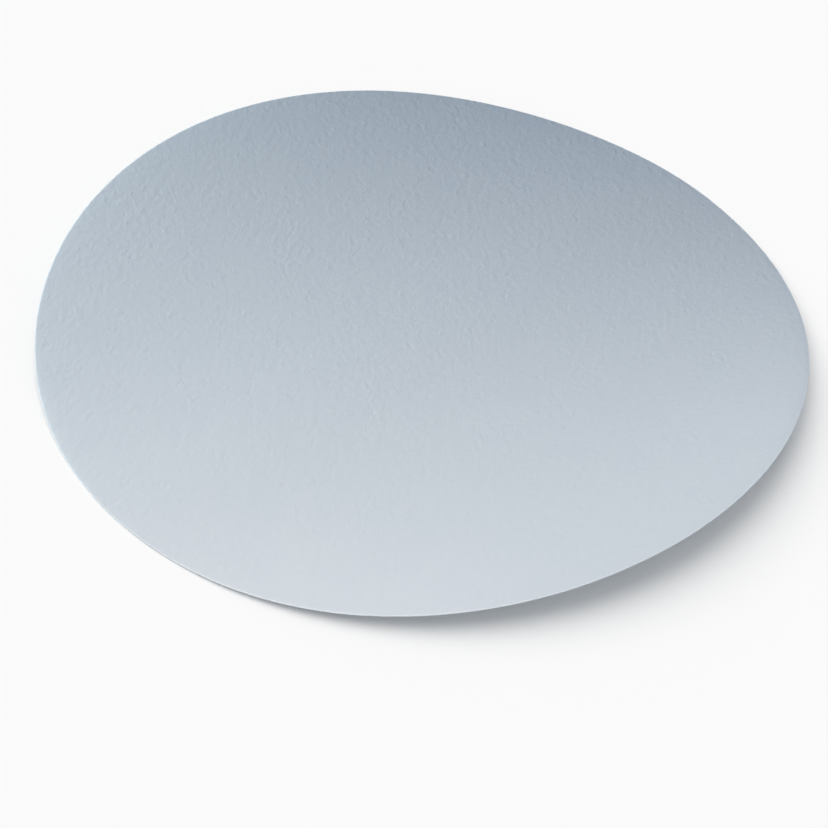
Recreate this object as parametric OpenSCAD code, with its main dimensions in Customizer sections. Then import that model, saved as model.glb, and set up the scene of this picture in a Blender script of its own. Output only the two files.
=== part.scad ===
// Round filter paper disc, lying loose on a flat surface with its natural curl.
// It is one sheet of unglazed cellulose paper, die-cut to a circle.
// The sheet bends about one direction only, as paper does: a band through the
// middle touches the surface, and the two sides rise as cylindrical curves.
//
// Frame: +Z up, millimetres. The origin is on the surface that the disc lies
// on, under the disc's centre. The valley of the curl runs along Y, and the
// raised sides face +X and -X.

/* [Disc] */
// Diameter of the disc, measured when it is pressed flat
disc_d = 125; // [55:5:185]
// Thickness of the paper
paper_t = 0.18; // [0.12:0.01:0.36]

/* [Curl] */
// Width of the band that touches the surface, along the valley
rest_band_w = 15; // [6:1:30]
// Bend radius of the raised sides, measured to the underside
curl_r = 262; // [160:2:600]

/* [Hidden] */
$fn = 720;

disc_r = disc_d / 2;
band_half = rest_band_w / 2;
// The middle of the paper's thickness keeps its length when the sheet bends.
neutral_r = curl_r - paper_t / 2;
// Angle that a raised side turns through, from the band to the rim
side_angle = (disc_r - band_half) / neutral_r * 180 / PI;
// Height of the raised rim's underside above the surface
rim_rise = curl_r * (1 - cos(side_angle));
// The uncut sheet reaches a little past the rim, and the outline trims it.
sheet_l = disc_d + 4;
sheet_angle = side_angle + 1;
// Straight steps round the rim, each about 1.6 mm long and 0.005 mm off round
rim_steps = 240;

// Where a point of the flat sheet, l from the valley line, comes to lie
function curled_x(l) =
    sign(l) * (min(abs(l), band_half)
        + neutral_r * sin(max(abs(l) - band_half, 0) / neutral_r * 180 / PI));

// The flat disc's circle, carried onto the curled sheet and seen from above
rim_outline = [
    for (i = [0 : rim_steps - 1])
        let (a = 360 * i / rim_steps)
            [curled_x(disc_r * cos(a)), disc_r * sin(a)]
];

// Part of the sheet that lies flat
module rest_band() {
    translate([-band_half, -sheet_l / 2, 0])
        cube([rest_band_w, sheet_l, paper_t]);
}

// Part of the sheet that curls up, on the +X side
module raised_side() {
    translate([band_half, 0, curl_r])
        rotate([90, 0, 0])
            rotate([0, 0, -90])
                rotate_extrude(angle = sheet_angle)
                    translate([curl_r - paper_t, -sheet_l / 2])
                        square([paper_t, sheet_l]);
}

// Vertical column inside the die-cut outline
module rim_column() {
    translate([0, 0, -1])
        linear_extrude(height = rim_rise + paper_t + 4)
            polygon(rim_outline);
}

// The whole disc, one piece of paper
module filter_disc() {
    color([0.84, 0.87, 0.90])
        intersection() {
            union() {
                rest_band();
                raised_side();
                mirror([1, 0, 0]) raised_side();
            }
            rim_column();
        }
}

filter_disc();
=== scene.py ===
import math

import bpy
import numpy as np
from mathutils import Matrix, Vector, noise


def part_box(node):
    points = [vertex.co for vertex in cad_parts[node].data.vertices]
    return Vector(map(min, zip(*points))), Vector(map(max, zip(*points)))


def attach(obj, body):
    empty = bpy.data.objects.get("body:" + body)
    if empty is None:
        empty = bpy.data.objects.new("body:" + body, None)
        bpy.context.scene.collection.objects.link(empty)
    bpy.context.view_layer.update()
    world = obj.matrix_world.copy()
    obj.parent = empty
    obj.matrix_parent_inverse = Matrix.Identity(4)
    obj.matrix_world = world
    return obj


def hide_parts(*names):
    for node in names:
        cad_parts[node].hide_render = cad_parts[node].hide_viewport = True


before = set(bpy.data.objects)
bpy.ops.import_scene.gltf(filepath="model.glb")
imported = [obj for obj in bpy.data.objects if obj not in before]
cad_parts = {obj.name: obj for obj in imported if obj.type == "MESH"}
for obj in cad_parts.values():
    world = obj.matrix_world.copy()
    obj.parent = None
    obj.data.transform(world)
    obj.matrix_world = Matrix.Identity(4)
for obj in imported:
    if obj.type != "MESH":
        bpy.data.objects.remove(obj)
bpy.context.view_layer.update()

MM = 0.001

# ---------------------------------------------------------------------------
# The sheet's own measures, in millimetres: the radius and the rise are taken from the imported part
# ---------------------------------------------------------------------------
box_lo, box_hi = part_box("filter_disc")
PAPER = 0.18  # thickness of the paper
RADIUS = (box_hi[1] - box_lo[1]) / 2 / MM  # the valley runs along Y, so Y isn't shortened
RISE = (box_hi[2] - box_lo[2]) / MM - PAPER  # the raised rim above the table
BAND = 7.5  # half the band that touches the table


def bend_radius(rise, reach):
    """Radius of an arc of this length that rises this far."""
    a, b = reach * 0.6, reach * 400
    for _ in range(80):
        m = (a + b) / 2
        if m * (1 - math.cos(reach / m)) > rise:
            a = m
        else:
            b = m
    return (a + b) / 2


CURL = bend_radius(RISE, RADIUS - BAND)


def curled(l, v):
    """The underside at flat position (l, v): points and the direction out of its upper face."""
    over = np.maximum(np.abs(l) - BAND, 0.0)
    turn = over / CURL
    side = np.sign(l)
    p = np.stack(
        [
            side * (np.minimum(np.abs(l), BAND) + CURL * np.sin(turn)),
            v,
            CURL * (1 - np.cos(turn)),
        ],
        -1,
    )
    n = np.stack([-side * np.sin(turn), np.zeros_like(l), np.cos(turn)], -1)
    return p, n


# ---------------------------------------------------------------------------
# Smooth unevenness: the slow cockle of a dry sheet and the cloudy formation
# ---------------------------------------------------------------------------
def field(l, v, size, seed, along=1.0):
    """Perlin noise over the flat sheet, features about size mm across."""
    off = Vector((seed * 17.13, seed * 5.71, seed * 9.37))
    return np.array(
        [
            noise.noise(Vector((x / size, y / (size * along), 0.0)) + off)
            for x, y in zip(l.ravel(), v.ravel())
        ]
    ).reshape(l.shape)


def rolled(l, v):
    """Drop in mm towards the rim: the die presses a stack of sheets down and over as it cuts.

    It bites least at the far end of the valley, +Y, and hardest near the left end of
    the sheet, where it lets go again further back.
    """
    depth = np.maximum(RADIUS - np.hypot(l, v), 0.0)
    tight, wide = math.radians(2.6) * 1.5, math.radians(1.1) * 6.0
    place = np.degrees(np.arctan2(-l, v))  # 0 at +Y, 90 at -X

    def near(middle, width):
        away = (place - middle + 180) % 360 - 180
        return np.exp(-((away / width) ** 2))

    bite = 1 - 0.9 * near(0, 38) + 0.5 * near(158, 12) - 0.45 * near(139, 9)
    drop = bite * (tight * np.exp(-depth / 1.5) + wide * np.exp(-depth / 6.0))
    # The last millimetre is bent down further at the near left, and a little at the right
    drop += near(160, 12) * math.radians(20) * 0.45 * np.exp(-depth / 0.45)
    drop += near(305, 24) * math.radians(7) * 0.7 * np.exp(-depth / 0.7)
    return drop


def cockle(l, v):
    """Height in mm that the whole sheet wanders by, longer along the valley."""
    r = np.hypot(l, v) / RADIUS
    slow = field(l, v, 46.0, 1, 1.5) * 0.055
    mid = field(l, v, 19.0, 2, 1.25) * 0.018
    rim = field(l, v, 24.0, 3) * 0.05 * np.clip((r - 0.72) / 0.28, 0, 1) ** 2
    return slow + mid + rim


def felt(l, v, seed):
    """Height in mm of one face's own unevenness."""
    return field(l, v, 6.5, seed) * 0.004 + field(l, v, 2.3, seed + 1) * 0.0028


# ---------------------------------------------------------------------------
# The sheet as one closed mesh: a grid carried onto the disc, rings at the rim
# ---------------------------------------------------------------------------
GRID = 202  # cells across the inner field


def disc_grid(n):
    """Points of an n by n grid carried onto a disc of radius 1, cells near square."""
    a = np.linspace(-1, 1, n + 1)
    x, y = np.meshgrid(a, a, indexing="ij")
    r = np.where(np.abs(x) > np.abs(y), x, y)
    with np.errstate(divide="ignore", invalid="ignore"):
        t = np.where(
            np.abs(x) > np.abs(y),
            (math.pi / 4) * (y / np.where(x == 0, 1, x)),
            (math.pi / 2) - (math.pi / 4) * (x / np.where(y == 0, 1, y)),
        )
    return r * np.cos(t), r * np.sin(t)


def build_sheet():
    inner = RADIUS - 0.9
    gx, gy = disc_grid(GRID)
    n = GRID + 1
    # indices round the grid's edge, in order
    loop = (
        [(i, 0) for i in range(n - 1)]
        + [(n - 1, j) for j in range(n - 1)]
        + [(i, n - 1) for i in range(n - 1, 0, -1)]
        + [(0, j) for j in range(n - 1, 0, -1)]
    )
    loop_id = np.array([i * n + j for i, j in loop])
    lx, ly = gx.ravel()[loop_id], gy.ravel()[loop_id]
    count = len(loop_id)
    grid_l, grid_v = gx.ravel() * inner, gy.ravel() * inner

    # Die-cut rim: the blade leaves the edge a few hundredths of a mm uneven,
    # presses the upper edge over, and leaves the sheet thinner at the cut.
    angle = np.arctan2(ly, lx)
    ragged = np.array(
        [
            noise.noise(Vector((math.cos(a) * 46, math.sin(a) * 46, 3.3))) * 0.020
            + noise.noise(Vector((math.cos(a) * 130, math.sin(a) * 130, 8.1))) * 0.016
            for a in angle
        ]
    )
    # (distance in from the rim, height as a share of the thickness from the underside)
    upper = [(0.50, 1.0), (0.25, 0.992), (0.11, 0.975), (0.035, 0.925), (0.0, 0.82)]
    lower = [(0.006, 0.16), (0.03, 0.05), (0.11, 0.02), (0.25, 0.005), (0.50, 0.0)]

    ls, vs, share = [grid_l], [grid_v], [np.ones_like(grid_l)]
    cut = [np.zeros_like(grid_l)]
    rings = []
    at = n * n
    for depth, part in upper + lower:
        rr = RADIUS - 0.02 - depth + ragged * (1 - depth / 0.6)
        ls.append(lx * rr)
        vs.append(ly * rr)
        share.append(np.full(count, part))
        # The cut mask is full within 0.11 mm of the rim and gone by 0.25 mm, on both faces. It carries the
        # paler fibre ends and a painted rim highlight.
        cut.append(np.full(count, min(1.0, max(0.0, (0.25 - depth) / 0.14))))
        rings.append(np.arange(at, at + count))
        at += count
    ls.append(grid_l)
    vs.append(grid_v)
    share.append(np.zeros_like(grid_l))
    cut.append(np.zeros_like(grid_l))
    below = at

    l, v, s = np.concatenate(ls), np.concatenate(vs), np.concatenate(share)
    p, d = curled(l, v)
    wander = cockle(l, v) - rolled(l, v)
    edge = np.clip((RADIUS - np.hypot(l, v)) / 0.9, 0, 1)
    top_relief, low_relief = felt(l, v, 11) * edge, felt(l, v, 23) * edge
    height = wander + s * PAPER + np.where(s > 0.5, top_relief, -low_relief)
    p = p + d * height[:, None]
    # It rests on its lowest point.
    p[:, 2] -= p[:, 2].min()

    faces = []
    idx = np.arange(n * n).reshape(n, n)
    q = np.stack([idx[:-1, :-1], idx[1:, :-1], idx[1:, 1:], idx[:-1, 1:]], -1).reshape(
        -1, 4
    )
    faces.append(q)
    chain = [loop_id] + rings + [below + loop_id]
    for a, b in zip(chain[:-1], chain[1:]):
        faces.append(np.stack([a, b, np.roll(b, -1), np.roll(a, -1)], -1))
    faces.append((q + below)[:, ::-1])
    quads = np.concatenate(faces)

    mesh = bpy.data.meshes.new("filter_paper")
    mesh.vertices.add(len(p))
    mesh.vertices.foreach_set("co", (p * MM).astype(np.float32).ravel())
    mesh.loops.add(len(quads) * 4)
    mesh.loops.foreach_set("vertex_index", quads.astype(np.int32).ravel())
    mesh.polygons.add(len(quads))
    mesh.polygons.foreach_set(
        "loop_start", np.arange(0, len(quads) * 4, 4, dtype=np.int32)
    )
    mesh.update(calc_edges=True)
    mesh.validate()
    mesh.shade_smooth()
    mark = mesh.attributes.new("cut", "FLOAT", "POINT")
    mark.data.foreach_set("value", np.concatenate(cut).astype(np.float32))
    obj = bpy.data.objects.new("filter_paper", mesh)
    bpy.context.scene.collection.objects.link(obj)
    return obj


sheet = build_sheet()
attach(sheet, "root")
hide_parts("filter_disc")


# ---------------------------------------------------------------------------
# Materials
# ---------------------------------------------------------------------------
class Tree:
    """Short calls for building a node tree."""

    def __init__(self, owner):
        owner.use_nodes = True
        self.t = owner.node_tree
        self.t.nodes.clear()

    def node(self, kind, **settings):
        n = self.t.nodes.new(kind)
        for k, val in settings.items():
            setattr(n, k, val)
        return n

    def link(self, a, b):
        self.t.links.new(a, b)

    def math(self, op, a, b=None, c=None):
        n = self.node("ShaderNodeMath", operation=op)
        for i, x in enumerate((a, b, c)):
            if x is None:
                continue
            if isinstance(x, (int, float)):
                n.inputs[i].default_value = x
            else:
                self.link(x, n.inputs[i])
        return n.outputs[0]

    def noise(self, vector, scale, detail=2.0, rough=0.5, warp=0.0):
        n = self.node("ShaderNodeTexNoise")
        n.noise_dimensions = "3D"
        self.link(vector, n.inputs["Vector"])
        n.inputs["Scale"].default_value = scale
        n.inputs["Detail"].default_value = detail
        n.inputs["Roughness"].default_value = rough
        n.inputs["Distortion"].default_value = warp
        return n.outputs["Fac"]

    def mapping(self, vector, scale):
        n = self.node("ShaderNodeMapping")
        self.link(vector, n.inputs["Vector"])
        n.inputs["Scale"].default_value = scale
        return n.outputs["Vector"]

    def laid(self, vector, turn, length, width):
        """Coordinates in which a feature of size 1 lies this long along the turn, and this wide."""
        n = self.node("ShaderNodeMapping", vector_type="TEXTURE")
        self.link(vector, n.inputs["Vector"])
        n.inputs["Scale"].default_value = (length, width, width)
        n.inputs["Rotation"].default_value = (0, 0, turn)
        return n.outputs["Vector"]

    def span(self, value, a, b, c, d):
        n = self.node("ShaderNodeMapRange")
        self.link(value, n.inputs["Value"])
        for name, x in zip(("From Min", "From Max", "To Min", "To Max"), (a, b, c, d)):
            n.inputs[name].default_value = x
        return n.outputs["Result"]


MILL = math.radians(117)  # the way the fibres lie, in the table's frame


def paper_material():
    mat = bpy.data.materials.new("filter_paper")
    k = Tree(mat)
    coord = k.node("ShaderNodeTexCoord").outputs["Object"]
    mm = k.mapping(coord, (1000.0, 1000.0, 1000.0))

    # Formation: the faint clouds of denser and thinner fibre in any paper
    cloud = k.noise(mm, 0.14, 3.0, 0.55, 0.4)
    # Felt grain: the soft hills and pits of an unpressed, unglazed sheet
    # It is drawn out along the way that the web ran through the mill
    grain = k.noise(k.laid(mm, MILL, 1.22, 1.04), 1.0, 1.0, 0.45, 0.3)
    pits = k.noise(k.laid(mm, MILL, 0.62, 0.50), 1.0, 1.0, 0.5, 0.3)
    # and lies in drifts, here more open and there more even
    drift = k.span(k.noise(mm, 0.33, 2.0, 0.5, 0.6), 0.34, 0.66, 0.45, 1.35)
    # and the felt is pressed flatter towards the near rim and at the -X end
    back = k.node("ShaderNodeVectorMath", operation="DOT_PRODUCT")
    k.link(mm, back.inputs[0])
    back.inputs[1].default_value = (-math.sqrt(0.5), math.sqrt(0.5), 0.0)
    drift = k.math("MULTIPLY", drift, k.span(back.outputs["Value"], -60, 0, 0.74, 1.06))
    drift = k.math("MULTIPLY", drift, k.span(back.outputs["Value"], 15, 45, 1.0, 1.06))
    end = k.node("ShaderNodeVectorMath", operation="DISTANCE")
    k.link(mm, end.inputs[0])
    end.inputs[1].default_value = (-64.0, 2.0, 5.0)
    drift = k.math("MULTIPLY", drift, k.span(end.outputs["Value"], 3, 30, 0.73, 1.0))

    # Fibres: short curved strands laid across each other at every angle
    bent = k.node("ShaderNodeVectorMath", operation="ADD")
    k.link(mm, bent.inputs[0])
    sway = k.node("ShaderNodeTexNoise")
    k.link(mm, sway.inputs["Vector"])
    sway.inputs["Scale"].default_value = 0.7
    sway.inputs["Detail"].default_value = 1.0
    amount = k.node("ShaderNodeVectorMath", operation="SCALE")
    k.link(sway.outputs["Color"], amount.inputs[0])
    amount.inputs["Scale"].default_value = 1.1
    k.link(amount.outputs[0], bent.inputs[1])
    strands = None
    for turn, long, fine in (
        (MILL, 2.6, 0.22),
        (MILL + 0.55, 2.2, 0.20),
        (MILL - 0.70, 2.3, 0.21),
        (MILL + 1.50, 1.9, 0.19),
    ):
        along = k.laid(bent.outputs[0], turn, long, fine)
        one = k.noise(along, 1.0, 1.0, 0.5, 0.0)
        one = k.span(one, 0.54, 0.76, 0.0, 1.0)
        strands = one if strands is None else k.math("MAXIMUM", strands, one)

    # Height of the surface, in mm
    height = k.math("MULTIPLY", k.math("SUBTRACT", grain, 0.5), 0.092)
    height = k.math("MULTIPLY_ADD", k.math("SUBTRACT", pits, 0.5), 0.021, height)
    height = k.math("MULTIPLY", height, drift)
    height = k.math("MULTIPLY_ADD", strands, 0.0012, height)
    bump = k.node("ShaderNodeBump")
    bump.inputs["Strength"].default_value = 1.0
    bump.inputs["Distance"].default_value = 0.001
    k.link(height, bump.inputs["Height"])

    # Colour: cool white cotton, a little darker where the sheet is thin
    tone = k.math(
        "ADD",
        k.span(cloud, 0.3, 0.7, -0.004, 0.004),
        k.span(strands, 0.0, 1.0, -0.002, 0.005),
    )
    tone = k.math("ADD", tone, k.span(grain, 0.3, 0.7, -0.003, 0.003))
    tone = k.math("ADD", tone, 1.0)
    tint = k.node("ShaderNodeMix", data_type="RGBA")
    tint.inputs["A"].default_value = (0.709, 0.755, 0.799, 1)
    tint.inputs["B"].default_value = (0.714, 0.757, 0.797, 1)
    k.link(k.span(cloud, 0.35, 0.65, 0.0, 1.0), tint.inputs["Factor"])
    shade = k.node("ShaderNodeVectorMath", operation="SCALE")
    k.link(tint.outputs["Result"], shade.inputs[0])
    k.link(tone, shade.inputs["Scale"])

    # The cut: clean fibre ends in fine uneven layers, painted paler than the faces. The pale is partly the
    # fibre ends' own colour and partly a painted highlight along the rim, and it reaches 0.25 mm onto the top
    # face.
    cut = k.node("ShaderNodeAttribute", attribute_name="cut").outputs["Fac"]
    layers = k.noise(k.mapping(coord, (2600.0, 2600.0, 16000.0)), 1.0, 2.0, 0.6, 0.2)
    pale = k.node("ShaderNodeMix", data_type="RGBA")
    pale.inputs["A"].default_value = (0.771, 0.840, 0.901, 1)
    pale.inputs["B"].default_value = (0.839, 0.894, 0.939, 1)
    k.link(k.span(layers, 0.35, 0.65, 0.0, 1.0), pale.inputs["Factor"])
    both = k.node("ShaderNodeMix", data_type="RGBA")
    k.link(cut, both.inputs["Factor"])
    k.link(shade.outputs[0], both.inputs["A"])
    k.link(pale.outputs["Result"], both.inputs["B"])

    bsdf = k.node("ShaderNodeBsdfPrincipled")
    k.link(both.outputs["Result"], bsdf.inputs["Base Color"])
    k.link(bump.outputs["Normal"], bsdf.inputs["Normal"])
    rough = k.span(grain, 0.3, 0.7, 0.86, 0.96)
    k.link(rough, bsdf.inputs["Roughness"])
    bsdf.inputs["IOR"].default_value = 1.45
    bsdf.inputs["Specular IOR Level"].default_value = 0.22
    bsdf.inputs["Sheen Weight"].default_value = 0.06
    bsdf.inputs["Sheen Roughness"].default_value = 0.5
    out = k.node("ShaderNodeOutputMaterial")
    k.link(bsdf.outputs[0], out.inputs["Surface"])
    return mat


sheet.data.materials.append(paper_material())


def floor_material():
    mat = bpy.data.materials.new("floor")
    k = Tree(mat)
    bsdf = k.node("ShaderNodeBsdfDiffuse")
    bsdf.inputs["Color"].default_value = (0.9, 0.9, 0.9, 1)
    out = k.node("ShaderNodeOutputMaterial")
    k.link(bsdf.outputs[0], out.inputs["Surface"])
    return mat


# ---------------------------------------------------------------------------
# Floor, camera and light
# ---------------------------------------------------------------------------
def make_floor():
    mesh = bpy.data.meshes.new("floor")
    a, z = 4.0, -0.00002
    mesh.from_pydata(
        [(-a, -a, z), (a, -a, z), (a, a, z), (-a, a, z)], [], [(0, 1, 2, 3)]
    )
    obj = bpy.data.objects.new("floor", mesh)
    mesh.materials.append(floor_material())
    bpy.context.scene.collection.objects.link(obj)
    return obj


floor = make_floor()


def make_camera():
    data = bpy.data.cameras.new("camera")
    data.lens, data.sensor_width, data.sensor_fit = 100.0, 36.0, "HORIZONTAL"
    data.clip_start, data.clip_end = 0.01, 20.0
    cam = bpy.data.objects.new("camera", data)
    az, el, roll = (math.radians(x) for x in (44.829, 44.151, 2.468))
    ahead = Vector(
        (-math.sin(az) * math.cos(el), math.cos(az) * math.cos(el), -math.sin(el))
    )
    right = Vector((math.cos(az), math.sin(az), 0.0))
    up = right.cross(ahead)
    c, s = math.cos(roll), math.sin(roll)
    x_axis, y_axis = right * c + up * s, up * c - right * s
    z_axis = x_axis.cross(y_axis)
    place = Matrix((x_axis, y_axis, z_axis)).transposed().to_4x4()
    place.translation = Vector((0.195403, -0.197732, 0.252207))
    cam.matrix_world = place
    bpy.context.scene.collection.objects.link(cam)
    bpy.context.scene.camera = cam
    return cam


camera = make_camera()


def only_for(light, name, objects):
    """The light falls on these objects only."""
    group = bpy.data.collections.new(name)
    for o in objects:
        group.objects.link(o)
    light.light_linking.receiver_collection = group


def softbox(name, place, aim, size, power, color):
    data = bpy.data.lights.new(name, "AREA")
    data.shape, data.size, data.size_y = "RECTANGLE", size[0], size[1]
    data.energy, data.color = power, color
    obj = bpy.data.objects.new(name, data)
    obj.location = place
    obj.rotation_euler = (
        (Vector(aim) - Vector(place)).to_track_quat("-Z", "Y").to_euler()
    )
    obj.visible_camera = False
    bpy.context.scene.collection.objects.link(obj)
    return obj


RIGHT = Vector((math.cos(math.radians(45)), math.sin(math.radians(45)), 0))
BACK = Vector((-math.sin(math.radians(45)), math.cos(math.radians(45)), 0))


def at(turn, height, distance):
    """A place this far from the middle of the table: turn 0 is right, 90 back, 180 left."""
    t, h = math.radians(turn), math.radians(height)
    level = RIGHT * math.cos(t) + BACK * math.sin(t)
    return (level * math.cos(h) + Vector((0, 0, math.sin(h)))) * distance


# One softbox comes in low over the back left, which brings up the felt of the
# paper there; two more hang close over the front edge, so that the light dies
# away towards the back.
low = softbox("low_softbox", at(155.5, 15.0, 0.1973), (0, 0, 0), (0.0895, 0.0895), 0.2835, (0.909, 1.0, 0.973))
right = softbox("right_softbox", at(342.9, 44.7, 0.130), (0, 0, 0), (0.060, 0.060), 0.0379, (1.055, 1.0, 0.923))
left = softbox("left_softbox", at(250.8, 41.9, 0.130), (0, 0, 0), (0.1422, 0.1422), 0.0946, (1.123, 1.0, 0.883))

# A cool overhead panel: what the shaded back of the sheet is left with.
cool = softbox("cool_panel", (0, 0, 0.9), (0, 0, 0), (1.4, 1.4), 1.291, (0.0, 0.348, 1.0))


def sky(name, strength, spread, toward, color):
    """A soft light without falloff, this many degrees wide."""
    data = bpy.data.lights.new(name, "SUN")
    data.energy, data.angle, data.color = strength, math.radians(spread), color
    obj = bpy.data.objects.new(name, data)
    obj.rotation_euler = (-toward).to_track_quat("-Z", "Y").to_euler()
    obj.visible_camera = False
    bpy.context.scene.collection.objects.link(obj)
    return obj


# The table has lights of its own, so that it stays evenly pale: one from the back
# left for the shadow, and a dome that reaches in under the raised sides.
table = sky("table_light", 1.955, 80, at(150, 62, 1.0), (1.0, 0.970, 0.946))
dome = sky("table_dome", 1.461, 179, Vector((0, 0, 1)), (1.0, 0.970, 0.946))

only_for(low, "low_on", [sheet])
only_for(right, "right_on", [sheet])
only_for(left, "left_on", [sheet])
only_for(cool, "cool_on", [sheet])
only_for(table, "table_on", [floor])
only_for(dome, "dome_on", [floor])

world = bpy.data.worlds.new("studio")
bpy.context.scene.world = world
k = Tree(world)
seen = k.node("ShaderNodeBackground")
seen.inputs["Color"].default_value = (0.95, 0.95, 0.95, 1)
seen.inputs["Strength"].default_value = 1.0
fill = k.node("ShaderNodeBackground")
fill.inputs["Color"].default_value = (0.0523, 0.0828, 0.1085, 1)
fill.inputs["Strength"].default_value = 1.0
path = k.node("ShaderNodeLightPath")
mix = k.node("ShaderNodeMixShader")
k.link(path.outputs["Is Camera Ray"], mix.inputs["Fac"])
k.link(fill.outputs[0], mix.inputs[1])
k.link(seen.outputs[0], mix.inputs[2])
out = k.node("ShaderNodeOutputWorld")
k.link(mix.outputs[0], out.inputs["Surface"])

scene = bpy.context.scene
scene.view_settings.view_transform = "Standard"
scene.view_settings.look = "None"
scene.view_settings.exposure = 0.0
scene.view_settings.gamma = 1.0
scene.cycles.max_bounces = 16
scene.cycles.diffuse_bounces = 8
